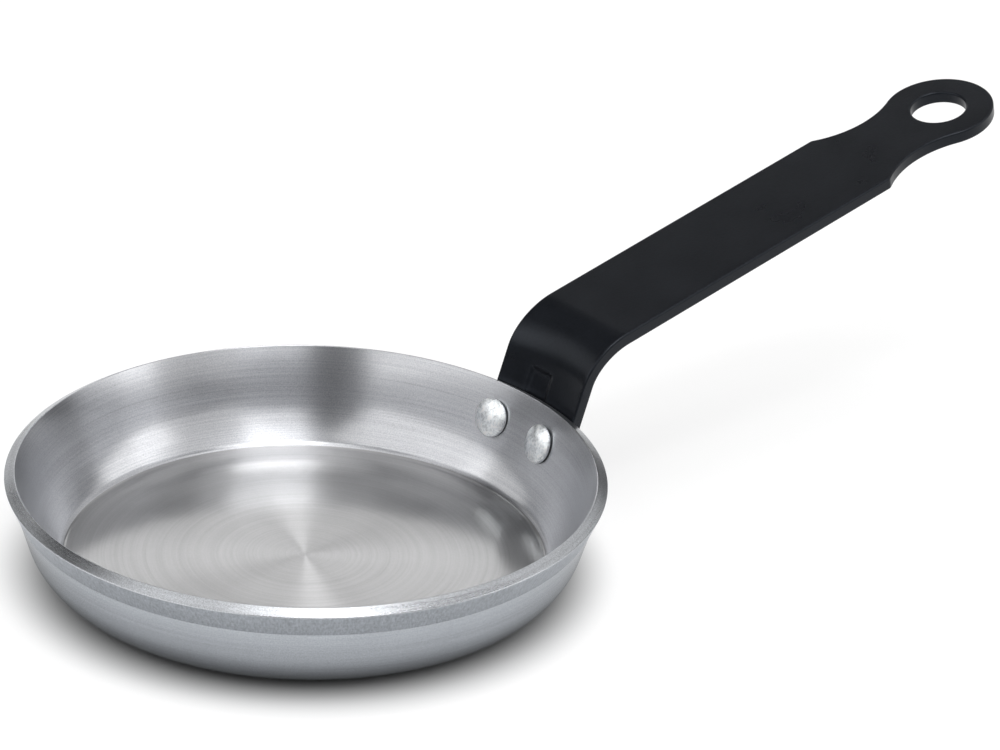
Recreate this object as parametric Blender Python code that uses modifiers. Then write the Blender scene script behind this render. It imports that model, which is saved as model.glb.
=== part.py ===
"""Blini pan: a pressed steel pan, a bent strip handle and two solid rivets.

The origin is the centre of the pan's underside, +Z is up and the handle runs along +X.
All sizes are in metres and all angles in degrees.
"""

import math

import bmesh
import bpy
from mathutils import Matrix, Vector

# Pan body
RIM_DIAMETER = 0.120          # over the outer edge of the rim
PAN_HEIGHT = 0.0215           # underside to the top of the rim
SHEET = 0.0025                # sheet thickness of floor and wall
WALL_ANGLE = 17.0             # flare of the wall from the vertical
BAND_HEIGHT = 0.0048          # height of the wider flared band below the rim
BAND_ANGLE = 25.0             # flare of that band from the vertical
EDGE_ANGLE = 30.0             # slope of the rim's cut edge from the horizontal
CORNER_RADIUS = 0.012         # outer corner between underside and wall
FLOOR_CORNER = 0.0025         # tight inner corner at the edge of the floor
HOLLOW_RADIUS = 0.025         # hollow curve of the lower inner wall
HOLLOW_TOP = 0.012            # height where that curve meets the straight wall

# Handle
STRIP_WIDTH = 0.0246
STRIP_THICKNESS = 0.0027
EDGE_ROUND = 0.0004           # rounding along the strip's edges
FLANGE_ANGLE = 19.5           # lean of the riveted flange from the vertical
FLANGE_DROP = 0.0125          # flange below the rim's outer edge
FLANGE_CORNER = 0.003         # rounded lower corners of the flange
BEND_RISE = 0.0070            # height above the rim's outer edge where the bend starts
BEND_RADIUS = 0.0113          # inside of the bend
HANDLE_SLOPE = 13.1           # rise of the strip from the horizontal
GRIP_LENGTH = 0.0741          # end of the bend to the shoulders
SHOULDER_TO_EYE = 0.0261      # shoulders to the centre of the eye
EYE_DIAMETER = 0.0238
HANG_HOLE_DIAMETER = 0.012
NECK_RADIUS = 0.022           # hollow curve between shoulder and eye

# Stamped recess on the flange's inner face
RECESS_WIDTH = 0.0072
RECESS_SHIFT = 0.0016         # from the flange's middle towards +Y
RECESS_TOP = 0.0056           # above the rim's outer edge
RECESS_LENGTH = 0.010
RECESS_DEPTH = 0.0006
RECESS_RAMP = 0.0012          # width of its sloping sides

# Rivets
RIVET_SPACING = 0.0152        # between the two heads, along the wall
RIVET_HEIGHT = 0.0145         # middle of the heads above the underside
RIVET_SHANK_DIAMETER = 0.005
RIVET_HEAD_DIAMETER = 0.008
RIVET_HEAD_HEIGHT = 0.0016
RIVET_LIP = 0.0005            # straight side of a head below its dome
RIVET_TAIL_DIAMETER = 0.0076
RIVET_TAIL_HEIGHT = 0.0019

# Fits
SEAT_GAP = 0.0003             # between pieces that touch
BORE_CLEARANCE = 0.0003       # around a rivet's shank

# Fineness of the round forms
PAN_STEPS = 96
ARC_STEPS = 8
RIVET_STEPS = 24
EYE_STEPS = 40
HOLE_STEPS = 28
BEND_CUTS = 10
FLANGE_CUTS = 8
CROSS_CUTS = 6
MERGE = 0.00001


def sin(angle):
    return math.sin(math.radians(angle))


def cos(angle):
    return math.cos(math.radians(angle))


def tan(angle):
    return math.tan(math.radians(angle))


def smooth_step(amount):
    amount = min(max(amount, 0.0), 1.0)
    return amount * amount * (3.0 - 2.0 * amount)


def arc_points(centre, radius, start, end, steps):
    """Points on an arc in a plane, both ends included."""
    points = []
    for index in range(steps + 1):
        angle = start + (end - start) * index / steps
        points.append((centre[0] + radius * cos(angle), centre[1] + radius * sin(angle)))
    return points


class PanSection:
    """The pan's section, worked out from the driving sizes."""

    def __init__(self):
        self.rim_radius = RIM_DIAMETER / 2
        edge_length = SHEET / cos(EDGE_ANGLE - BAND_ANGLE)
        self.edge_height = PAN_HEIGHT - edge_length * sin(EDGE_ANGLE)
        self.mouth_radius = self.rim_radius - edge_length * cos(EDGE_ANGLE)
        self.crease_height = self.edge_height - BAND_HEIGHT
        self.crease_radius = self.rim_radius - BAND_HEIGHT * tan(BAND_ANGLE)
        self.corner_top = CORNER_RADIUS * (1 - sin(WALL_ANGLE))
        wall_rise = self.crease_height - self.corner_top
        self.corner_top_radius = self.crease_radius - wall_rise * tan(WALL_ANGLE)
        self.base_radius = self.corner_top_radius - CORNER_RADIUS * cos(WALL_ANGLE)
        mitre = SHEET / cos((BAND_ANGLE - WALL_ANGLE) / 2)
        middle = (BAND_ANGLE + WALL_ANGLE) / 2
        self.inner_crease_radius = self.crease_radius - mitre * cos(middle)
        self.inner_crease_height = self.crease_height + mitre * sin(middle)
        hollow_x = self.inner_radius(HOLLOW_TOP) - HOLLOW_RADIUS * cos(WALL_ANGLE)
        hollow_z = HOLLOW_TOP + HOLLOW_RADIUS * sin(WALL_ANGLE)
        self.hollow_centre = (hollow_x, hollow_z)
        drop = hollow_z - SHEET - FLOOR_CORNER
        self.floor_radius = hollow_x + math.sqrt((HOLLOW_RADIUS - FLOOR_CORNER) ** 2 - drop ** 2)
        self.hollow_foot = math.degrees(math.atan2(-drop, self.floor_radius - hollow_x))

    def inner_radius(self, height):
        """Radius of the inner wall between its hollow curve and the crease."""
        return self.inner_crease_radius - (self.inner_crease_height - height) * tan(WALL_ANGLE)

    def outline(self):
        """From the floor's centre out, up the inside, over the rim and down the outside."""
        floor_centre = (self.floor_radius, SHEET + FLOOR_CORNER)
        base_centre = (self.base_radius, CORNER_RADIUS)
        points = [(0.0, SHEET)]
        points += arc_points(floor_centre, FLOOR_CORNER, -90, self.hollow_foot, ARC_STEPS)
        points += arc_points(self.hollow_centre, HOLLOW_RADIUS, self.hollow_foot, -WALL_ANGLE, ARC_STEPS)[1:]
        points.append((self.inner_crease_radius, self.inner_crease_height))
        points.append((self.mouth_radius, PAN_HEIGHT))
        points.append((self.rim_radius, self.edge_height))
        points.append((self.crease_radius, self.crease_height))
        points += arc_points(base_centre, CORNER_RADIUS, -WALL_ANGLE, -90, ARC_STEPS)
        points.append((0.0, 0.0))
        return points


class HandlePath:
    """The side view of the handle: its upper face, from the flange's foot to the eye."""

    def __init__(self, section):
        self.edge_height = section.edge_height
        self.lean = Vector((sin(FLANGE_ANGLE), 0, cos(FLANGE_ANGLE)))
        self.run = Vector((cos(HANDLE_SLOPE), 0, sin(HANDLE_SLOPE)))
        self.turn = 90 - FLANGE_ANGLE - HANDLE_SLOPE
        self.radius = BEND_RADIUS + STRIP_THICKNESS
        self.flange = (FLANGE_DROP + BEND_RISE) / cos(FLANGE_ANGLE)
        self.bend = self.radius * math.radians(self.turn)
        seat = Vector((section.rim_radius + SEAT_GAP / cos(FLANGE_ANGLE), 0, self.edge_height))
        self.foot = seat - self.lean * (FLANGE_DROP / cos(FLANGE_ANGLE))
        self.bend_start = self.foot + self.lean * self.flange
        self.bend_centre = self.bend_start + Vector((cos(FLANGE_ANGLE), 0, -sin(FLANGE_ANGLE))) * self.radius
        self.shoulder = self.flange + self.bend + GRIP_LENGTH
        self.eye = self.shoulder + SHOULDER_TO_EYE

    def middle(self, along):
        """Point on the upper face's centre line and the face's normal there."""
        if along <= self.flange:
            return self.foot + self.lean * along, Vector((-cos(FLANGE_ANGLE), 0, sin(FLANGE_ANGLE)))
        turned = min((along - self.flange) / self.bend, 1.0) * self.turn
        normal = Vector((-cos(FLANGE_ANGLE + turned), 0, sin(FLANGE_ANGLE + turned)))
        point = self.bend_centre + normal * self.radius
        beyond = max(along - self.flange - self.bend, 0.0)
        return point + self.run * beyond, normal

    def place(self, along, across, above):
        """Where a point of the flat blank lies once the strip is bent and its flange curved."""
        point, normal = self.middle(along)
        point = point + normal * above
        hug = 1.0 - smooth_step((along - self.flange) / self.bend)
        radius = max(point.x, abs(across))
        point.x -= hug * (radius - math.sqrt(radius * radius - across * across))
        point.y = across
        return point


def clear_scene():
    for thing in list(bpy.data.objects):
        bpy.data.objects.remove(thing, do_unlink=True)


def new_collection(name):
    collection = bpy.data.collections.new(name)
    bpy.context.scene.collection.children.link(collection)
    return collection


def new_material(name, colour, roughness, metallic):
    material = bpy.data.materials.new(name)
    material.use_nodes = True
    shader = material.node_tree.nodes["Principled BSDF"]
    shader.inputs["Base Color"].default_value = (*colour, 1.0)
    shader.inputs["Roughness"].default_value = roughness
    shader.inputs["Metallic"].default_value = metallic
    return material


def pan_steel():
    return new_material("pan_steel", (0.62, 0.62, 0.63), 0.32, 1.0)


def handle_coat():
    return new_material("handle_coat", (0.012, 0.012, 0.014), 0.38, 0.0)


def rivet_metal():
    return new_material("rivet_metal", (0.72, 0.73, 0.73), 0.28, 1.0)


def shade_round(thing, angle=30.0):
    thing.data.shade_smooth()
    thing.data.set_sharp_from_angle(angle=math.radians(angle))


def turned_object(name, outline, steps, collection):
    """A closed turned shape: the outline's two ends lie on the Z axis."""
    mesh = bpy.data.meshes.new(name)
    points = [(radius, 0.0, height) for radius, height in outline]
    edges = [(index, index + 1) for index in range(len(points) - 1)]
    mesh.from_pydata(points, edges, [])
    thing = bpy.data.objects.new(name, mesh)
    collection.objects.link(thing)
    screw = thing.modifiers.new("turn", "SCREW")
    screw.axis = "Z"
    screw.angle = math.tau
    screw.steps = steps
    screw.render_steps = steps
    screw.use_merge_vertices = True
    screw.merge_threshold = MERGE
    return thing


def as_mesh_object(thing, name, collection):
    """A plain mesh copy of a curve or modified object, which takes its place."""
    bpy.context.view_layer.update()
    evaluated = thing.evaluated_get(bpy.context.evaluated_depsgraph_get())
    mesh = bpy.data.meshes.new_from_object(evaluated)
    copy = bpy.data.objects.new(name, mesh)
    copy.matrix_world = thing.matrix_world.copy()
    collection.objects.link(copy)
    bpy.data.objects.remove(thing, do_unlink=True)
    return copy


def cut_from(thing, cutter):
    cut = thing.modifiers.new("cut_" + cutter.name, "BOOLEAN")
    cut.operation = "DIFFERENCE"
    cut.solver = "EXACT"
    cut.object = cutter


def mark_cutter(thing):
    thing.hide_render = True
    thing.display_type = "WIRE"


def rivet_frames(section):
    """One frame per rivet: its origin on the inner wall and its Z axis pointing out of the pan."""
    radius = section.inner_radius(RIVET_HEIGHT)
    tilt = (WALL_ANGLE + FLANGE_ANGLE) / 2
    swing = math.asin(RIVET_SPACING / 2 / radius)
    frames = {}
    for name, side in (("rivet_left", 1), ("rivet_right", -1)):
        around = Matrix.Rotation(side * swing, 4, "Z")
        outward = Matrix.Rotation(math.radians(90 + tilt), 4, "Y")
        frames[name] = around @ Matrix.Translation((radius, 0, RIVET_HEIGHT)) @ outward
    return frames


def rivet_cutter(name, frame, collection):
    """The hole that a rivet's shank passes through, in the wall and in the flange."""
    reach = SHEET + STRIP_THICKNESS + 4 * RIVET_HEAD_HEIGHT
    radius = RIVET_SHANK_DIAMETER / 2 + BORE_CLEARANCE
    mesh = bpy.data.meshes.new(name)
    shape = bmesh.new()
    bmesh.ops.create_cone(shape, cap_ends=True, segments=RIVET_STEPS, radius1=radius, radius2=radius,
                          depth=2 * reach)
    shape.to_mesh(mesh)
    shape.free()
    cutter = bpy.data.objects.new(name, mesh)
    cutter.matrix_world = frame
    collection.objects.link(cutter)
    mark_cutter(cutter)
    return cutter


def grip_depth(frame, path):
    """Along a rivet's axis, from the inner wall to the flange's outer face."""
    start = frame.translation
    axis = frame.to_3x3() @ Vector((0, 0, 1))
    flat = Vector((math.hypot(start.x, start.y), 0, start.z))
    flat_axis = Vector((math.hypot(axis.x, axis.y), 0, axis.z))
    normal = Vector((cos(FLANGE_ANGLE), 0, -sin(FLANGE_ANGLE)))
    outer = path.foot + normal * STRIP_THICKNESS
    return (outer - flat).dot(normal) / flat_axis.dot(normal)


def dome_points(radius, height, base, steps):
    """Half of a low dome, from its edge at the height base to its crown on the axis."""
    sphere = (radius * radius + height * height) / (2 * height)
    spread = math.degrees(math.asin(radius / sphere))
    centre = (0.0, base + height - sphere)
    return arc_points(centre, sphere, 90 - spread, 90, steps)


def rivet_outline(depth):
    """From the tail's crown, down its side, along the shank and round the head in the pan."""
    head = RIVET_HEAD_DIAMETER / 2
    tail = RIVET_TAIL_DIAMETER / 2
    shank = RIVET_SHANK_DIAMETER / 2
    hollow = head * head / RIM_DIAMETER
    head_seat = -SEAT_GAP - hollow
    tail_lean = tail * tan((FLANGE_ANGLE - WALL_ANGLE) / 2)
    tail_seat = depth + SEAT_GAP + tail_lean
    tail_dome = dome_points(tail, RIVET_TAIL_HEIGHT - RIVET_LIP, tail_seat + RIVET_LIP, 5)
    head_dome = dome_points(head, RIVET_HEAD_HEIGHT - RIVET_LIP, RIVET_LIP, 6)
    points = list(reversed(tail_dome))
    points.append((tail, tail_seat))
    points.append((shank, tail_seat))
    points.append((shank, head_seat))
    points.append((head, head_seat))
    points += [(radius, head_seat - rise) for radius, rise in head_dome]
    return points


def make_rivet(name, frame, path, collection):
    rivet = turned_object(name, rivet_outline(grip_depth(frame, path)), RIVET_STEPS, collection)
    rivet.matrix_world = frame
    shade_round(rivet)
    return rivet


def make_pan_body(section, cutters, collection):
    body = turned_object("pan_body", section.outline(), PAN_STEPS, collection)
    for cutter in cutters:
        cut_from(body, cutter)
    shade_round(body)
    return body


def neck_centre(path):
    """Centre of the neck's hollow curve, which starts at the shoulder and meets the eye's circle."""
    half = STRIP_WIDTH / 2
    reach = NECK_RADIUS + EYE_DIAMETER / 2
    span = math.hypot(SHOULDER_TO_EYE, half)
    towards = (span * span + NECK_RADIUS * NECK_RADIUS - reach * reach) / (2 * span)
    aside = math.sqrt(NECK_RADIUS * NECK_RADIUS - towards * towards)
    step = Vector((SHOULDER_TO_EYE, -half)) / span
    side = Vector((-step.y, step.x))
    return Vector((path.shoulder, half)) + step * towards + side * aside


def blank_outline(path):
    """The strip's flat outline, anticlockwise: foot, right side, eye and left side."""
    half = STRIP_WIDTH / 2
    neck = neck_centre(path)
    eye = Vector((path.eye, 0.0))
    to_eye = eye - neck
    to_shoulder = Vector((path.shoulder, half)) - neck
    meet = math.degrees(math.atan2(to_eye.y, to_eye.x))
    leave = math.degrees(math.atan2(to_shoulder.y, to_shoulder.x))
    left_neck = arc_points(neck, NECK_RADIUS, meet, leave, ARC_STEPS)
    right_neck = [(along, -across) for along, across in reversed(left_neck)]
    edge = 180 + meet
    eye_arc = arc_points(eye, EYE_DIAMETER / 2, -edge, edge, EYE_STEPS)
    corner = FLANGE_CORNER
    right_foot = arc_points((corner, corner - half), corner, 180, 270, ARC_STEPS // 2)
    left_foot = arc_points((corner, half - corner), corner, 90, 180, ARC_STEPS // 2)
    return right_foot + right_neck + eye_arc[1:-1] + left_neck + left_foot


def flat_blank(path, collection):
    """The strip as it is blanked from flat bar, with its hanging hole and rounded edges."""
    curve = bpy.data.curves.new("handle_blank", "CURVE")
    curve.dimensions = "2D"
    curve.fill_mode = "BOTH"
    curve.extrude = STRIP_THICKNESS / 2 - EDGE_ROUND
    curve.bevel_depth = EDGE_ROUND
    curve.bevel_resolution = 1
    curve.offset = -EDGE_ROUND
    hole = arc_points((path.eye, 0.0), HANG_HOLE_DIAMETER / 2, 0, 360, HOLE_STEPS)[:-1]
    for outline in (blank_outline(path), hole):
        spline = curve.splines.new("POLY")
        spline.points.add(len(outline) - 1)
        for point, (along, across) in zip(spline.points, outline):
            point.co = (along, across, 0.0, 1.0)
        spline.use_cyclic_u = True
    blank = bpy.data.objects.new("handle_blank", curve)
    blank.location.z = -STRIP_THICKNESS / 2
    collection.objects.link(blank)
    return as_mesh_object(blank, "handle_strip", collection)


def recess_cutter(path, collection):
    """The stamp that presses the recess: a block that narrows into the blank's upper face."""
    foot_to_edge = FLANGE_DROP / cos(FLANGE_ANGLE)
    top = foot_to_edge + RECESS_TOP / cos(FLANGE_ANGLE)
    mesh = bpy.data.meshes.new("recess_stamp")
    shape = bmesh.new()
    bmesh.ops.create_cube(shape, size=1.0)
    slope = RECESS_RAMP / RECESS_DEPTH
    for vertex in shape.verts:
        low = vertex.co.z < 0
        height = -RECESS_DEPTH if low else RECESS_DEPTH
        spread = RECESS_RAMP + slope * height
        vertex.co.x = math.copysign(RECESS_LENGTH / 2 - RECESS_RAMP + spread, vertex.co.x)
        vertex.co.y = math.copysign(RECESS_WIDTH / 2 - RECESS_RAMP + spread, vertex.co.y)
        vertex.co.z = height
    shape.to_mesh(mesh)
    shape.free()
    stamp = bpy.data.objects.new("recess_stamp", mesh)
    stamp.location = (top - RECESS_LENGTH / 2, RECESS_SHIFT, 0.0)
    collection.objects.link(stamp)
    mark_cutter(stamp)
    return stamp


def slice_blank(mesh, path):
    """Cut the blank across and along where it is going to bend, so that the bend comes out round."""
    shape = bmesh.new()
    shape.from_mesh(mesh)
    bmesh.ops.remove_doubles(shape, verts=shape.verts, dist=MERGE)
    stations = [path.flange * (index + 1) / FLANGE_CUTS for index in range(FLANGE_CUTS)]
    stations += [path.flange + path.bend * (index + 1) / BEND_CUTS for index in range(BEND_CUTS)]
    for along in stations:
        geometry = shape.verts[:] + shape.edges[:] + shape.faces[:]
        bmesh.ops.bisect_plane(shape, geom=geometry, dist=MERGE, plane_co=(along, 0, 0),
                               plane_no=(1, 0, 0))
    for index in range(1, CROSS_CUTS):
        across = STRIP_WIDTH * (index / CROSS_CUTS - 0.5)
        near = [face for face in shape.faces if face.calc_center_median().x < path.flange + path.bend]
        edges = {edge for face in near for edge in face.edges}
        corners = {vertex for face in near for vertex in face.verts}
        geometry = list(corners) + list(edges) + near
        bmesh.ops.bisect_plane(shape, geom=geometry, dist=MERGE, plane_co=(0, across, 0),
                               plane_no=(0, 1, 0))
    bmesh.ops.triangulate(shape, faces=shape.faces[:])
    shape.to_mesh(mesh)
    shape.free()


def make_handle(path, cutters, collection, cutter_collection):
    """The blank, stamped, sliced, bent to its path and bored for the rivets."""
    blank = flat_blank(path, collection)
    stamp = recess_cutter(path, cutter_collection)
    weld_mesh(blank.data)
    cut_from(blank, stamp)
    handle = as_mesh_object(blank, "handle", collection)
    handle.data.transform(handle.matrix_world)
    handle.matrix_world = Matrix.Identity(4)
    bpy.data.objects.remove(stamp, do_unlink=True)
    slice_blank(handle.data, path)
    for vertex in handle.data.vertices:
        vertex.co = path.place(vertex.co.x, vertex.co.y, vertex.co.z)
    for cutter in cutters:
        cut_from(handle, cutter)
    shade_round(handle)
    return handle


def weld_mesh(mesh):
    shape = bmesh.new()
    shape.from_mesh(mesh)
    bmesh.ops.remove_doubles(shape, verts=shape.verts, dist=MERGE)
    bmesh.ops.recalc_face_normals(shape, faces=shape.faces)
    shape.to_mesh(mesh)
    shape.free()


def give_material(thing, material):
    thing.data.materials.clear()
    thing.data.materials.append(material)


def build():
    clear_scene()
    parts = new_collection("blini_pan")
    cutters = new_collection("cutters")
    section = PanSection()
    path = HandlePath(section)
    frames = rivet_frames(section)
    bores = [rivet_cutter(name + "_bore", frame, cutters) for name, frame in frames.items()]
    body = make_pan_body(section, bores, parts)
    give_material(body, pan_steel())
    handle = make_handle(path, bores, parts, cutters)
    give_material(handle, handle_coat())
    metal = rivet_metal()
    for name, frame in frames.items():
        give_material(make_rivet(name, frame, path, parts), metal)


build()
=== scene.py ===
"""Looks of the blini pan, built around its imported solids. Metres and degrees, in the solids' own frame."""

import math

import bpy
from mathutils import Matrix, Vector


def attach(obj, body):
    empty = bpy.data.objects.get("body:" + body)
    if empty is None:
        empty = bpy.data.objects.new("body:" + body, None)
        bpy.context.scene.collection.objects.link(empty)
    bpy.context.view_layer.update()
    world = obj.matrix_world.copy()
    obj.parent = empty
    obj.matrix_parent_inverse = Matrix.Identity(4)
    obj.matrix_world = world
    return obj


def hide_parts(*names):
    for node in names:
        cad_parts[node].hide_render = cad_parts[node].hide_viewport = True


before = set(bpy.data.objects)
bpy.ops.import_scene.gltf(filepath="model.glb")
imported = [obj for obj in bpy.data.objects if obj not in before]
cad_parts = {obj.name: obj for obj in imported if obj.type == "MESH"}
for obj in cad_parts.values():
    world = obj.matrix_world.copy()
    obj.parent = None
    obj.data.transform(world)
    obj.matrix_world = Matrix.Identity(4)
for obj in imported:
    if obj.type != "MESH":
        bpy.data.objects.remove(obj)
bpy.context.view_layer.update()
bpy.ops.object.select_all(action="DESELECT")


# Pan body
# One disc of bare steel, pressed into a low flared wall and turned on a lathe inside.
# Its cut edge slopes outward, and a rougher band below it flares a little more than the wall.

RIM_RADIUS = 0.060
PAN_HEIGHT = 0.0215
SHEET = 0.0025
WALL_ANGLE = 17.0
BAND_HEIGHT = 0.0048
BAND_ANGLE = 25.0
EDGE_ANGLE = 30.0
CORNER_RADIUS = 0.012
FLOOR_CORNER = 0.0025
HOLLOW_RADIUS = 0.025
HOLLOW_TOP = 0.012
EDGE_SOFTENING = 0.00022      # radius on the two corners of the cut edge
CREASE_SOFTENING = 0.0008     # radius on the crease below the band
INNER_BLEND = 0.060           # radius that leads the wall into the band inside
PAN_SIDES = 256
AXIS_GAP = 0.0004             # radius of the small disc that closes a turned piece on its axis

edge_length = SHEET / math.cos(math.radians(EDGE_ANGLE - BAND_ANGLE))
edge_height = PAN_HEIGHT - edge_length * math.sin(math.radians(EDGE_ANGLE))
mouth_radius = RIM_RADIUS - edge_length * math.cos(math.radians(EDGE_ANGLE))
crease_height = edge_height - BAND_HEIGHT
crease_radius = RIM_RADIUS - BAND_HEIGHT * math.tan(math.radians(BAND_ANGLE))
wall_slope = math.tan(math.radians(WALL_ANGLE))
corner_top = CORNER_RADIUS * (1 - math.sin(math.radians(WALL_ANGLE)))
corner_radius_out = crease_radius - (crease_height - corner_top) * wall_slope
base_radius = corner_radius_out - CORNER_RADIUS * math.cos(math.radians(WALL_ANGLE))
mitre = SHEET / math.cos(math.radians((BAND_ANGLE - WALL_ANGLE) / 2))
mitre_angle = math.radians((BAND_ANGLE + WALL_ANGLE) / 2)
inner_crease_radius = crease_radius - mitre * math.cos(mitre_angle)
inner_crease_height = crease_height + mitre * math.sin(mitre_angle)
hollow_top_radius = inner_crease_radius - (inner_crease_height - HOLLOW_TOP) * wall_slope
hollow_x = hollow_top_radius - HOLLOW_RADIUS * math.cos(math.radians(WALL_ANGLE))
hollow_z = HOLLOW_TOP + HOLLOW_RADIUS * math.sin(math.radians(WALL_ANGLE))
corner_drop = hollow_z - SHEET - FLOOR_CORNER
floor_radius = hollow_x + math.sqrt((HOLLOW_RADIUS - FLOOR_CORNER) ** 2 - corner_drop ** 2)
hollow_foot = math.degrees(math.atan2(-corner_drop, floor_radius - hollow_x))


def arc(centre, radius, start, end, steps):
    """Points on an arc, both ends included."""
    turn = [math.radians(start + (end - start) * step / steps) for step in range(steps + 1)]
    return [(centre[0] + radius * math.cos(a), centre[1] + radius * math.sin(a)) for a in turn]


def soft_corner(before, corner, after, radius, steps=5):
    """The points that round a corner between two straight runs."""
    corner = Vector(corner)
    back = (Vector(before) - corner).normalized()
    ahead = (Vector(after) - corner).normalized()
    half = back.angle(ahead) / 2
    centre = corner + (back + ahead).normalized() * (radius / math.sin(half))
    first = corner + back * (radius / math.tan(half)) - centre
    last = corner + ahead * (radius / math.tan(half)) - centre
    turn = first.angle_signed(last)
    points = []
    for step in range(steps + 1):
        a = -turn * step / steps
        points.append((centre.x + first.x * math.cos(a) - first.y * math.sin(a),
                       centre.y + first.x * math.sin(a) + first.y * math.cos(a)))
    return points


def between(start, end, steps):
    """Points inside a straight run, without its ends."""
    return [tuple(Vector(start).lerp(Vector(end), step / steps)) for step in range(1, steps)]


def turned_piece(name, profile, sides):
    """A closed turned piece: a small ring on the axis, widened and raised ring by ring."""
    bpy.ops.object.select_all(action="DESELECT")
    radius, height = profile[0]
    bpy.ops.mesh.primitive_circle_add(vertices=sides, radius=radius, fill_type="NOTHING")
    piece = bpy.context.active_object
    piece.name = name
    piece.data.name = name
    bpy.ops.object.mode_set(mode="EDIT")
    bpy.ops.mesh.select_all(action="SELECT")
    bpy.ops.transform.translate(value=(0, 0, height))
    for next_radius, next_height in profile[1:]:
        bpy.ops.mesh.extrude_region_move(
            TRANSFORM_OT_translate={"value": (0, 0, next_height - height)})
        grow = next_radius / radius
        bpy.ops.transform.resize(value=(grow, grow, 1), center_override=(0, 0, 0))
        radius, height = next_radius, next_height
    bpy.ops.mesh.select_all(action="SELECT")
    bpy.ops.mesh.fill_holes(sides=0)
    bpy.ops.mesh.select_all(action="SELECT")
    bpy.ops.mesh.normals_make_consistent(inside=False)
    bpy.ops.object.mode_set(mode="OBJECT")
    return piece


floor_centre = (floor_radius, SHEET + FLOOR_CORNER)
hollow_centre = (hollow_x, hollow_z)
base_centre = (base_radius, CORNER_RADIUS)
inner_crease = (inner_crease_radius, inner_crease_height)
mouth = (mouth_radius, PAN_HEIGHT)
rim_edge = (RIM_RADIUS, edge_height)
crease = (crease_radius, crease_height)
floor_arc = arc(floor_centre, FLOOR_CORNER, -90, hollow_foot, 14)
hollow_arc = arc(hollow_centre, HOLLOW_RADIUS, hollow_foot, -WALL_ANGLE, 16)
corner_arc = arc(base_centre, CORNER_RADIUS, -WALL_ANGLE, -90, 20)
pan_profile = [(AXIS_GAP, SHEET)]
pan_profile += between((AXIS_GAP, SHEET), floor_arc[0], 8)
pan_profile += floor_arc
pan_profile += hollow_arc[1:]
pan_profile += soft_corner(hollow_arc[-1], inner_crease, mouth, INNER_BLEND, 12)[1:]
pan_profile += soft_corner(inner_crease, mouth, rim_edge, EDGE_SOFTENING)
pan_profile += soft_corner(mouth, rim_edge, crease, EDGE_SOFTENING)
pan_profile += soft_corner(rim_edge, crease, corner_arc[0], CREASE_SOFTENING, 4)
pan_profile += between(crease, corner_arc[0], 4)
pan_profile += corner_arc
pan_profile += between(corner_arc[-1], (AXIS_GAP, 0.0), 5)
pan_profile.append((AXIS_GAP, 0.0))
pan_body = turned_piece("pan_body_turned", pan_profile, PAN_SIDES)

RIVET_SPACING = 0.0152
RIVET_HEIGHT = 0.0145
FLANGE_ANGLE = 19.5
BORE_RADIUS = 0.0028
DRILL_LENGTH = 0.03
SMOOTH_ANGLE = 40             # an edge that turns more than this, in degrees, stays sharp

wall_radius = inner_crease_radius - (inner_crease_height - RIVET_HEIGHT) * wall_slope
rivet_swing = math.asin(RIVET_SPACING / 2 / wall_radius)
rivet_tilt = math.radians(90 + (WALL_ANGLE + FLANGE_ANGLE) / 2)


def rivet_place(side):
    """A rivet's own frame: its origin on the inner wall and its Z axis pointing out of the pan."""
    around = Matrix.Rotation(side * rivet_swing, 4, "Z")
    outward = Matrix.Translation((wall_radius, 0, RIVET_HEIGHT)) @ Matrix.Rotation(rivet_tilt, 4, "Y")
    return around @ outward


def bore(piece, side):
    """Cuts the hole that a rivet's shank passes through."""
    bpy.ops.object.select_all(action="DESELECT")
    bpy.ops.mesh.primitive_cylinder_add(vertices=48, radius=BORE_RADIUS, depth=DRILL_LENGTH)
    drill = bpy.context.active_object
    drill.matrix_world = rivet_place(side)
    bpy.ops.object.select_all(action="DESELECT")
    bpy.context.view_layer.objects.active = piece
    cut = piece.modifiers.new("bore", "BOOLEAN")
    cut.operation = "DIFFERENCE"
    cut.solver = "EXACT"
    cut.object = drill
    bpy.ops.object.modifier_apply(modifier=cut.name)
    bpy.data.objects.remove(drill, do_unlink=True)


def finish_shading(piece):
    """Smooth shading that stays flat on the large faces."""
    bpy.ops.object.select_all(action="DESELECT")
    piece.select_set(True)
    bpy.context.view_layer.objects.active = piece
    bpy.ops.object.shade_smooth_by_angle(angle=math.radians(SMOOTH_ANGLE))
    weigh = piece.modifiers.new("weigh", "WEIGHTED_NORMAL")
    weigh.keep_sharp = True
    weigh.weight = 100
    bpy.ops.object.modifier_apply(modifier=weigh.name)
    piece.select_set(False)


for side in (1, -1):
    bore(pan_body, side)
finish_shading(pan_body)


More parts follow.
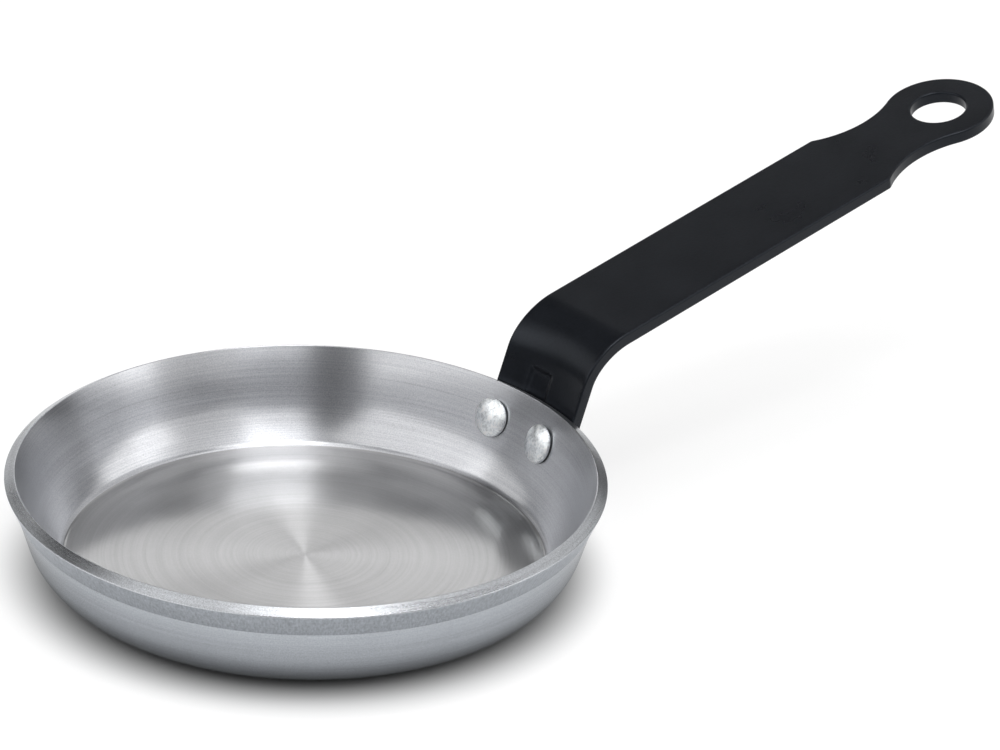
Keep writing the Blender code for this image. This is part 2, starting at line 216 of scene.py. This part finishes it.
class Nodes:
    """Short names for adding a material's nodes and joining them."""

    def __init__(self, name):
        self.material = bpy.data.materials.new(name)
        self.material.use_nodes = True
        self.tree = self.material.node_tree
        self.shader = self.tree.nodes["Principled BSDF"]

    def add(self, kind, inputs=(), **settings):
        node = self.tree.nodes.new(kind)
        for key, value in settings.items():
            setattr(node, key, value)
        for key, value in dict(inputs).items():
            if isinstance(value, bpy.types.NodeSocket):
                self.tree.links.new(value, node.inputs[key])
            else:
                node.inputs[key].default_value = value
        return node

    def math(self, operation, first, second=0.0, third=0.0):
        node = self.add("ShaderNodeMath", {0: first, 1: second, 2: third}, operation=operation)
        return node.outputs[0]

    def noise(self, place, scale, detail, roughness=0.5):
        values = {"Vector": place, "Scale": scale, "Detail": detail, "Roughness": roughness}
        return self.add("ShaderNodeTexNoise", values).outputs["Fac"]

    def join(self, output, name):
        self.tree.links.new(output, self.shader.inputs[name])

    def tint(self, colour, shade):
        tinted = self.add("ShaderNodeVectorMath", {0: colour, "Scale": shade}, operation="SCALE")
        self.join(tinted.outputs[0], "Base Color")

    def relief(self, height, depth):
        bump = self.add("ShaderNodeBump", {"Height": height, "Strength": 1.0, "Distance": depth})
        self.join(bump.outputs[0], "Normal")

    def set(self, **values):
        for key, value in values.items():
            self.shader.inputs[key.replace("_", " ")].default_value = value


LINE_WAVES = 25.0             # waves of the turned lines in a metre round the axis
RIB_WAVES = (2400.0, 120.0)   # waves of the band's ribs in a metre, round the axis and across
SAND_SCALE = 4200.0
CLOUD_SCALE = 60.0
CLOUD_SHARE = 0.15
GLOSS_SPREAD = 0.2            # the share by which the lines change the roughness
SCRATCH_DEPTH = 0.000016
NO_POLISH = (0.0, 0.2, 1.5)   # weight, roughness and index of the polish


def turned_steel(name, colour, roughness, anisotropy, fineness, scratched, sandy,
                 polish=NO_POLISH, ribbed=0.0):
    """Bare steel with fine lines round the axis and a sandy grain, and with a sharper polish if asked."""
    steel = Nodes(name)
    place = steel.add("ShaderNodeTexCoord").outputs["Object"]
    x, y, z = steel.add("ShaderNodeSeparateXYZ", {0: place}).outputs
    flat = steel.add("ShaderNodeCombineXYZ", {0: x, 1: y}).outputs[0]
    radius = steel.add("ShaderNodeVectorMath", {0: flat}, operation="LENGTH").outputs["Value"]
    run = steel.math("ADD", radius, z)

    def streaks(around, across):
        """Noise stretched one way; the two numbers are waves in a metre round the axis and across."""
        streak_x = steel.math("MULTIPLY", x, around)
        streak_y = steel.math("MULTIPLY", y, around)
        streak_run = steel.math("MULTIPLY", run, across)
        spot = steel.add("ShaderNodeCombineXYZ", {0: streak_x, 1: streak_y, 2: streak_run}).outputs[0]
        return steel.noise(spot, 1.0, 2.0)

    line = streaks(LINE_WAVES, fineness)
    rib = streaks(*RIB_WAVES)
    sand = steel.noise(place, SAND_SCALE, 2.0)
    cloud = steel.noise(place, CLOUD_SCALE, 3.0)
    middle = 1.0 - (scratched + sandy + ribbed + CLOUD_SHARE) / 2
    shade = steel.math("MULTIPLY_ADD", line, scratched, middle)
    shade = steel.math("MULTIPLY_ADD", sand, sandy, shade)
    shade = steel.math("MULTIPLY_ADD", rib, ribbed, shade)
    shade = steel.math("MULTIPLY_ADD", cloud, CLOUD_SHARE, shade)
    steel.tint(colour, shade)
    rough = steel.math("MULTIPLY_ADD", line, roughness * GLOSS_SPREAD, roughness * (1 - GLOSS_SPREAD / 2))
    steel.join(rough, "Roughness")
    turn = steel.add("ShaderNodeCombineXYZ", {0: steel.math("MULTIPLY", y, -1.0), 1: x}).outputs[0]
    turn = steel.add("ShaderNodeVectorMath", {0: turn}, operation="NORMALIZE").outputs[0]
    steel.join(turn, "Tangent")
    scratch_height = steel.math("MULTIPLY", line, scratched)
    sand_height = steel.math("MULTIPLY", sand, sandy)
    steel.relief(steel.math("ADD", scratch_height, sand_height), SCRATCH_DEPTH)
    weight, gloss, index = polish
    if weight > 0:
        steel.join(steel.math("MULTIPLY", shade, weight), "Coat Weight")
    steel.set(Metallic=1.0, Anisotropic=anisotropy, Anisotropic_Rotation=0.25)
    steel.set(Coat_Roughness=gloss, Coat_IOR=index)
    return steel.material


pan_finishes = [
    # name, colour, roughness, anisotropy, lines in a metre, scratched, sandy, polish
    turned_steel("pan_floor_steel", (0.33, 0.33, 0.335), 0.38, 1.0, 2200.0, 0.5, 0.3, (0.8, 0.14, 3.6)),
    turned_steel("pan_wall_steel", (0.41, 0.42, 0.45), 0.31, 1.0, 2600.0, 0.6, 0.9, (0.75, 0.22, 3.5)),
    turned_steel("rim_edge_steel", (0.54, 0.555, 0.58), 0.28, 0.3, 2300.0, 0.8, 1.2),
    turned_steel("rim_band_steel", (0.43, 0.455, 0.49), 0.42, 0.0, 3000.0, 0.3, 0.5, ribbed=0.8),
    turned_steel("pan_outside_steel", (0.55, 0.58, 0.62), 0.19, 0.6, 1800.0, 0.2, 0.45),
]
FLOOR, WALL, EDGE, BAND, OUTSIDE = range(len(pan_finishes))
FLOOR_SLACK = 0.00015         # how far the middle of a floor's face may lie above the floor
EDGE_SLACK = 0.0001           # and that of an edge's face below the edge
FACING_SLACK = 0.0001         # a flat face counts as facing the axis, in spite of this slope

for finish in pan_finishes:
    pan_body.data.materials.append(finish)
for face in pan_body.data.polygons:
    middle = face.center
    outward = face.normal.x * middle.x + face.normal.y * middle.y
    faces_axis = outward < FACING_SLACK * math.hypot(middle.x, middle.y)
    inside = faces_axis and middle.z > SHEET / 2
    if inside and middle.z < SHEET + FLOOR_SLACK:
        face.material_index = FLOOR
    elif inside:
        face.material_index = WALL
    elif middle.z > edge_height - EDGE_SLACK:
        face.material_index = EDGE
    elif middle.z > crease_height:
        face.material_index = BAND
    else:
        face.material_index = OUTSIDE
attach(pan_body, "root")
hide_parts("pan_body")


# Handle
# One length of flat steel bar, blanked with a neck and an eye, bent at the rim and curved to the pan.
# It has a baked satin black epoxy coat, and a shallow recess is stamped in its flange.

STRIP_WIDTH = 0.0246
STRIP_THICKNESS = 0.0027
EDGE_ROUND = 0.00045
FLANGE_DROP = 0.0125
FLANGE_CORNER = 0.003
BEND_RISE = 0.0070
BEND_RADIUS = 0.0113
HANDLE_SLOPE = 13.1
GRIP_LENGTH = 0.0741
SHOULDER_TO_EYE = 0.0261
EYE_RADIUS = 0.0119
HANG_HOLE_RADIUS = 0.006
NECK_RADIUS = 0.022
SEAT_GAP = 0.0003
RECESS_WIDTH = 0.0072
RECESS_SHIFT = 0.0016
RECESS_TOP = 0.0056
RECESS_LENGTH = 0.010
RECESS_DEPTH = 0.0006
RECESS_RAMP = 0.0012
SHOULDER_ROUND = 0.0012
WELD_GAP = 0.000005
FLAT_TURN = 0.5               # faces that turn less than this, in degrees, are joined before the cuts
FLANGE_CUTS = 24
BEND_CUTS = 40
RECESS_CUTS = 24
RAMP_CUTS = 12
HALF_WIDTH_CUTS = 10

flange_lean = math.radians(FLANGE_ANGLE)
flange_length = (FLANGE_DROP + BEND_RISE) / math.cos(flange_lean)
face_radius = BEND_RADIUS + STRIP_THICKNESS
bend_turn = math.radians(90 - FLANGE_ANGLE - HANDLE_SLOPE)
bend_length = face_radius * bend_turn
shoulder = flange_length + bend_length + GRIP_LENGTH
eye = shoulder + SHOULDER_TO_EYE
up_flange = Vector((math.sin(flange_lean), 0, math.cos(flange_lean)))
up_grip = Vector((math.cos(math.radians(HANDLE_SLOPE)), 0, math.sin(math.radians(HANDLE_SLOPE))))
flange_seat = Vector((RIM_RADIUS + SEAT_GAP / math.cos(flange_lean), 0, edge_height))
flange_foot = flange_seat - up_flange * (FLANGE_DROP / math.cos(flange_lean))
bend_start = flange_foot + up_flange * flange_length
bend_centre = bend_start + Vector((math.cos(flange_lean), 0, -math.sin(flange_lean))) * face_radius


def ramp_in(distance, width):
    """From 0 at an edge to 1 at the ramp's foot, with soft ends."""
    amount = min(max(distance / width, 0.0), 1.0)
    return amount * amount * (3.0 - 2.0 * amount)


def bent(along, across, above):
    """Where a point of the flat blank lies once the strip is bent and its flange hugs the pan."""
    turned = min(max(along - flange_length, 0.0) / bend_length, 1.0) * bend_turn
    normal = Vector((-math.cos(flange_lean + turned), 0, math.sin(flange_lean + turned)))
    if along <= flange_length:
        point = flange_foot + up_flange * along
    else:
        point = bend_centre + normal * face_radius
        point = point + up_grip * max(along - flange_length - bend_length, 0.0)
    point = point + normal * above
    hug = 1.0 - ramp_in(along - flange_length, bend_length)
    reach = max(point.x, abs(across))
    point.x -= hug * (reach - math.sqrt(reach * reach - across * across))
    point.y = across
    return point


half = STRIP_WIDTH / 2
neck_to_eye = NECK_RADIUS + EYE_RADIUS
span = math.hypot(SHOULDER_TO_EYE, half)
towards = (span * span + NECK_RADIUS * NECK_RADIUS - neck_to_eye * neck_to_eye) / (2 * span)
aside = math.sqrt(NECK_RADIUS * NECK_RADIUS - towards * towards)
step = Vector((SHOULDER_TO_EYE, -half)) / span
neck = Vector((shoulder, half)) + step * towards + Vector((-step.y, step.x)) * aside
meet = math.degrees(math.atan2(-neck.y, eye - neck.x))
leave = math.degrees(math.atan2(half - neck.y, shoulder - neck.x))
neck_arc = arc(neck, NECK_RADIUS, meet, leave, 24)
shoulder_round = soft_corner(neck_arc[-2], (shoulder, half), (0.0, half), SHOULDER_ROUND)
left_side = neck_arc[:-2] + shoulder_round
right_side = [(along, -across) for along, across in reversed(left_side)]
eye_arc = arc((eye, 0.0), EYE_RADIUS, -180 - meet, 180 + meet, 96)
right_foot = arc((FLANGE_CORNER, FLANGE_CORNER - half), FLANGE_CORNER, 180, 270, 8)
left_foot = arc((FLANGE_CORNER, half - FLANGE_CORNER), FLANGE_CORNER, 90, 180, 8)
blank_outline = right_foot + right_side + eye_arc[1:-1] + left_side + left_foot
hole_outline = arc((eye, 0.0), HANG_HOLE_RADIUS, 0, 360, 72)[:-1]

outline_curve = bpy.data.curves.new("handle_blank", "CURVE")
outline_curve.dimensions = "2D"
outline_curve.fill_mode = "BOTH"
outline_curve.extrude = STRIP_THICKNESS / 2 - EDGE_ROUND
outline_curve.bevel_depth = EDGE_ROUND
outline_curve.bevel_resolution = 4
outline_curve.offset = -EDGE_ROUND
for outline in (blank_outline, hole_outline):
    spline = outline_curve.splines.new("POLY")
    spline.points.add(len(outline) - 1)
    for point, (along, across) in zip(spline.points, outline):
        point.co = (along, across, 0.0, 1.0)
    spline.use_cyclic_u = True
handle = bpy.data.objects.new("handle_bent", outline_curve)
bpy.context.scene.collection.objects.link(handle)
bpy.ops.object.select_all(action="DESELECT")
handle.select_set(True)
bpy.context.view_layer.objects.active = handle
bpy.ops.object.convert(target="MESH")
handle = bpy.context.active_object
bpy.ops.object.mode_set(mode="EDIT")
bpy.ops.mesh.select_all(action="SELECT")
bpy.ops.mesh.remove_doubles(threshold=WELD_GAP)
bpy.ops.mesh.dissolve_limited(angle_limit=math.radians(FLAT_TURN))
bpy.ops.transform.translate(value=(0, 0, -STRIP_THICKNESS / 2))


def cut_blank(place, normal):
    """A straight cut through the whole blank, along which it can bend or be pressed."""
    bpy.ops.mesh.select_all(action="SELECT")
    bpy.ops.mesh.bisect(plane_co=place, plane_no=normal)


stations = [flange_length * count / FLANGE_CUTS for count in range(1, FLANGE_CUTS + 1)]
stations += [flange_length + bend_length * count / BEND_CUTS for count in range(1, BEND_CUTS + 1)]
for along in stations:
    cut_blank((along, 0, 0), (1, 0, 0))
rows = [RECESS_SHIFT + RECESS_WIDTH * (count / RECESS_CUTS - 0.5) for count in range(RECESS_CUTS + 1)]
plain_rows = [half * count / HALF_WIDTH_CUTS for count in range(1 - HALF_WIDTH_CUTS, HALF_WIDTH_CUTS)]
rows += [across for across in plain_rows if abs(across - RECESS_SHIFT) > RECESS_WIDTH / 2]
for across in rows:
    cut_blank((0, across, 0), (0, 1, 0))
recess_top = (FLANGE_DROP + RECESS_TOP) / math.cos(flange_lean)
for count in range(RAMP_CUTS + 1):
    cut_blank((recess_top - RECESS_RAMP * count / RAMP_CUTS, 0, 0), (1, 0, 0))
bpy.ops.object.mode_set(mode="OBJECT")

for vertex in handle.data.vertices:
    along, across, above = vertex.co
    if above > -EDGE_ROUND:
        pressed = ramp_in(recess_top - along, RECESS_RAMP)
        pressed *= ramp_in(along - recess_top + RECESS_LENGTH, RECESS_RAMP)
        pressed *= ramp_in(RECESS_WIDTH / 2 - abs(across - RECESS_SHIFT), RECESS_RAMP)
        above -= RECESS_DEPTH * pressed
    vertex.co = bent(along, across, above)
for side in (1, -1):
    bore(handle, side)
finish_shading(handle)


COAT_COLOUR = (0.0045, 0.0053, 0.0075)
COAT_SHEEN = (0.80, 0.88, 1.0, 1.0)
PEEL_SCALE = 1500.0
PEEL_DEPTH = 0.000014
GLOSS_SCALE = 90.0


def black_coat():
    """Baked satin epoxy: nearly black, with a faint orange peel and dust-fine gloss changes."""
    coat = Nodes("satin_black_epoxy")
    place = coat.add("ShaderNodeTexCoord").outputs["Object"]
    peel = coat.noise(place, PEEL_SCALE, 3.0, 0.6)
    cloud = coat.noise(place, GLOSS_SCALE, 4.0)
    tone = coat.math("MULTIPLY_ADD", peel, 1.2, coat.math("MULTIPLY_ADD", cloud, 0.6, 0.1))
    coat.tint(COAT_COLOUR, tone)
    coat.join(coat.math("MULTIPLY_ADD", cloud, 0.10, 0.24), "Roughness")
    coat.relief(peel, PEEL_DEPTH)
    coat.set(Metallic=0.0, Specular_IOR_Level=0.27, Specular_Tint=COAT_SHEEN)
    return coat.material


handle.data.materials.append(black_coat())
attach(handle, "root")
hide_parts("handle")


# Rivets
# Two solid rivets of bright metal through the wall and the flange, set cold.
# Their low domed heads lie inside the pan, and their tails are formed outside the flange.

SHANK_RADIUS = 0.0025
HEAD_RADIUS = 0.004
HEAD_HEIGHT = 0.0016
HEAD_LIP = 0.0005
HEAD_GAP = 0.0002             # between a head and the wall
TAIL_RADIUS = 0.0038
TAIL_HEIGHT = 0.0019
HEAD_ROUND = 0.00035
TAIL_ROUND = 0.0002
RIVET_SIDES = 64

tilt = math.radians((WALL_ANGLE + FLANGE_ANGLE) / 2)
face_normal = Vector((math.cos(flange_lean), 0, -math.sin(flange_lean)))
to_face = flange_foot + face_normal * STRIP_THICKNESS
rivet_axis = Vector((math.cos(tilt), 0, -math.sin(tilt)))
grip = (to_face - Vector((wall_radius, 0, RIVET_HEIGHT))).dot(face_normal) / rivet_axis.dot(face_normal)
head_seat = -HEAD_GAP - HEAD_RADIUS * HEAD_RADIUS / (2 * RIM_RADIUS)
tail_seat = grip + SEAT_GAP + TAIL_RADIUS * math.tan(math.radians((FLANGE_ANGLE - WALL_ANGLE) / 2))


def dome(radius, height, base, steps, up):
    """Half of a low dome, from its edge to the small disc at its crown."""
    sphere = (radius * radius + height * height) / (2 * height)
    spread = math.degrees(math.asin(radius / sphere))
    centre = (0.0, height - sphere)
    points = arc(centre, sphere, 90 - spread, 90, steps)
    points[-1] = (AXIS_GAP / 2, points[-1][1])
    return [(across, base + up * rise) for across, rise in points]


tail_dome = dome(TAIL_RADIUS, TAIL_HEIGHT - HEAD_LIP, tail_seat + HEAD_LIP, 10, 1)
head_dome = dome(HEAD_RADIUS, HEAD_HEIGHT - HEAD_LIP, head_seat - HEAD_LIP, 14, -1)
rivet_profile = list(reversed(tail_dome[1:]))
rivet_profile += soft_corner(tail_dome[1], tail_dome[0], (TAIL_RADIUS, tail_seat), TAIL_ROUND, 4)
rivet_profile += [(TAIL_RADIUS, tail_seat), (SHANK_RADIUS, tail_seat), (SHANK_RADIUS, head_seat)]
rivet_profile += [(HEAD_RADIUS, head_seat)]
rivet_profile += soft_corner((HEAD_RADIUS, head_seat), head_dome[0], head_dome[1], HEAD_ROUND, 6)
rivet_profile += head_dome[1:]


RIVET_COLOUR = (0.87, 0.90, 0.92)
DENT_SCALE = 2000.0
DENT_DEPTH = 0.00004
BLOTCH_SCALE = 700.0


def peened_metal():
    """Bright rivet metal, lightly peened, with a cloudy gloss."""
    metal = Nodes("peened_rivet_metal")
    place = metal.add("ShaderNodeTexCoord").outputs["Object"]
    dents = metal.noise(place, DENT_SCALE, 3.0, 0.6)
    blotches = metal.noise(place, BLOTCH_SCALE, 4.0, 0.6)
    tone = metal.math("MULTIPLY_ADD", dents, 1.4, metal.math("MULTIPLY_ADD", blotches, 1.4, -0.4))
    metal.tint(RIVET_COLOUR, tone)
    metal.join(metal.math("MULTIPLY_ADD", blotches, 0.3, 0.24), "Roughness")
    metal.relief(dents, DENT_DEPTH)
    metal.set(Metallic=1.0)
    return metal.material


rivet_metal = peened_metal()
for name, side in (("rivet_left", 1), ("rivet_right", -1)):
    rivet = turned_piece(name + "_set", rivet_profile, RIVET_SIDES)
    rivet.data.transform(rivet_place(side))
    finish_shading(rivet)
    rivet.data.materials.append(rivet_metal)
    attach(rivet, "root")
    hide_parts(name)


# Floor
# A plain pale table top that carries the pan and runs out of the picture on all sides.
# Its paleness is its own. Its glow fades close round the pan, where the pan keeps the light off it: a
# painted shadow on the table, and a painted shade where the metal mirrors the table near the pan.

TABLE_TONE = 0.30
TABLE_GLOW = 0.73
TABLE_RADIUS = 3.0
TABLE_DROP = 0.0002           # how far the table lies below the pan's underside
# The glow is gone near the pan's axis and whole further out; inside these radii it is a painted shadow, not
# real shade.
PAINTED_SHADOW_RING = (0.048, 0.064)    # radii about the pan's axis where the glow begins and is whole
MIRRORED_PAINTED_SHADOW_RING = (0.050, 0.076)   # the same, for the table as it shows in the metal

bpy.ops.object.select_all(action="DESELECT")
bpy.ops.mesh.primitive_circle_add(vertices=96, radius=TABLE_RADIUS, fill_type="NGON",
                                  location=(0, 0, -TABLE_DROP))
table = bpy.context.active_object
table.name = "table_top"
bpy.ops.object.transform_apply(location=True)
paper = Nodes("pale_table")
paper.set(Base_Color=(TABLE_TONE, TABLE_TONE, TABLE_TONE, 1.0), Roughness=0.9, Specular_IOR_Level=0.0)
spot = paper.add("ShaderNodeTexCoord").outputs["Object"]
away = paper.add("ShaderNodeVectorMath", {0: spot}, operation="LENGTH").outputs["Value"]
ray = paper.add("ShaderNodeLightPath").outputs
mirrored = paper.math("MAXIMUM", ray["Is Glossy Ray"], ray["Is Transmission Ray"])
shown = 0.0
# Painted shadow: the glow is faded by distance from the pan's axis, once for the camera and once for the
# table as the metal mirrors it.
for seen_by, (start, full) in ((ray["Is Camera Ray"], PAINTED_SHADOW_RING), (mirrored, MIRRORED_PAINTED_SHADOW_RING)):
    painted_shadow_fade = paper.add("ShaderNodeMapRange", {"Value": away, "From Min": start, "From Max": full},
                     interpolation_type="SMOOTHSTEP").outputs[0]
    shown = paper.math("MULTIPLY_ADD", seen_by, painted_shadow_fade, shown)
glow_with_painted_shadow = paper.math("MULTIPLY", shown, TABLE_GLOW)
paper.set(Emission_Color=(1.0, 1.0, 1.0, 1.0))
paper.join(glow_with_painted_shadow, "Emission Strength")
table.data.materials.append(paper.material)


# Light
# A plain studio: banks of soft light overhead, a backdrop behind the pan and pale cards round the table.
# Each box has the bearing and height that it is seen at from the pan, its size in degrees and a brightness.

LAMP_DISTANCE = 3.0
WORLD_LIGHT = 0.03
studio_boxes = [
    # name, bearing, height, width, depth, turned, brightness
    ("overhead_bank", 203, 90, 18, 42, 0, 1.6),
    ("key_bank", 264, 75, 20, 12, -16, 8.0),
    ("key_fill", 264, 66, 34, 24, 0, 1.35),
    ("rear_bank", 58, 74, 60, 22, 0, 1.2),
    ("backdrop", 52, 24, 24, 16, 0, 1.36),
    ("right_strip", 318, 24, 40, 22, 0, 1.35),
    ("right_wash", 306, 14, 44, 14, 0, 0.3),
    ("right_rear_card", 353, 38, 64, 34, 0, 0.7),
    ("right_front_card", 288, 38, 54, 44, 0, 0.9),
    ("left_rear_card", 128, 27, 32, 22, 0, 1.1),
    ("left_far_card", 70, 14, 26, 20, 0, 0.8),
    ("left_high_card", 88, 30, 24, 12, 0, 0.6),
    ("left_front_card", 174, 39, 62, 42, 0, 1.42),
    ("left_strip", 180, 14, 56, 22, 0, 0.4),
    ("front_card", 247, 41, 24, 32, 0, 1.35),
]


def across_angle(degrees):
    """The length that fills an angle, seen from the pan."""
    return 2 * LAMP_DISTANCE * math.tan(math.radians(degrees / 2))


for name, bearing, height, width, depth, turned, brightness in studio_boxes:
    lamp = bpy.data.lights.new(name, "AREA")
    lamp.shape = "RECTANGLE"
    lamp.size = across_angle(width)
    lamp.size_y = across_angle(depth)
    lamp.energy = brightness * math.pi * lamp.size * lamp.size_y
    box = bpy.data.objects.new(name, lamp)
    bpy.context.scene.collection.objects.link(box)
    swung = Matrix.Rotation(math.radians(bearing + 90), 4, "Z")
    raised = Matrix.Rotation(math.radians(90 - height), 4, "X")
    rolled = Matrix.Rotation(math.radians(turned), 4, "Z")
    box.matrix_world = swung @ raised @ rolled @ Matrix.Translation((0, 0, LAMP_DISTANCE))
    box.visible_camera = False

world = bpy.data.worlds.new("studio")
bpy.context.scene.world = world
world.use_nodes = True
surround = world.node_tree.nodes["Background"]
surround.inputs["Color"].default_value = (1, 1, 1, 1)
surround.inputs["Strength"].default_value = WORLD_LIGHT


# Camera
# It stands at the photograph's place, a metre off, with a long lens.
# Its place, turn and lens come from the outlines of the pan and the handle.

CAMERA_LENS = 182.456
SENSOR_WIDTH = 36.0
CAMERA_PLACE = (-0.556005, -0.708045, 0.474940)
CAMERA_TURN = (64.38054, -2.05676, -39.54880)
FAR_LIMIT = 20.0

camera_data = bpy.data.cameras.new("camera")
camera_data.lens = CAMERA_LENS
camera_data.sensor_width = SENSOR_WIDTH
camera_data.clip_end = FAR_LIMIT
camera = bpy.data.objects.new("camera", camera_data)
camera.location = CAMERA_PLACE
camera.rotation_euler = [math.radians(angle) for angle in CAMERA_TURN]
bpy.context.scene.collection.objects.link(camera)
bpy.context.scene.camera = camera
bpy.context.scene.view_settings.view_transform = "Standard"
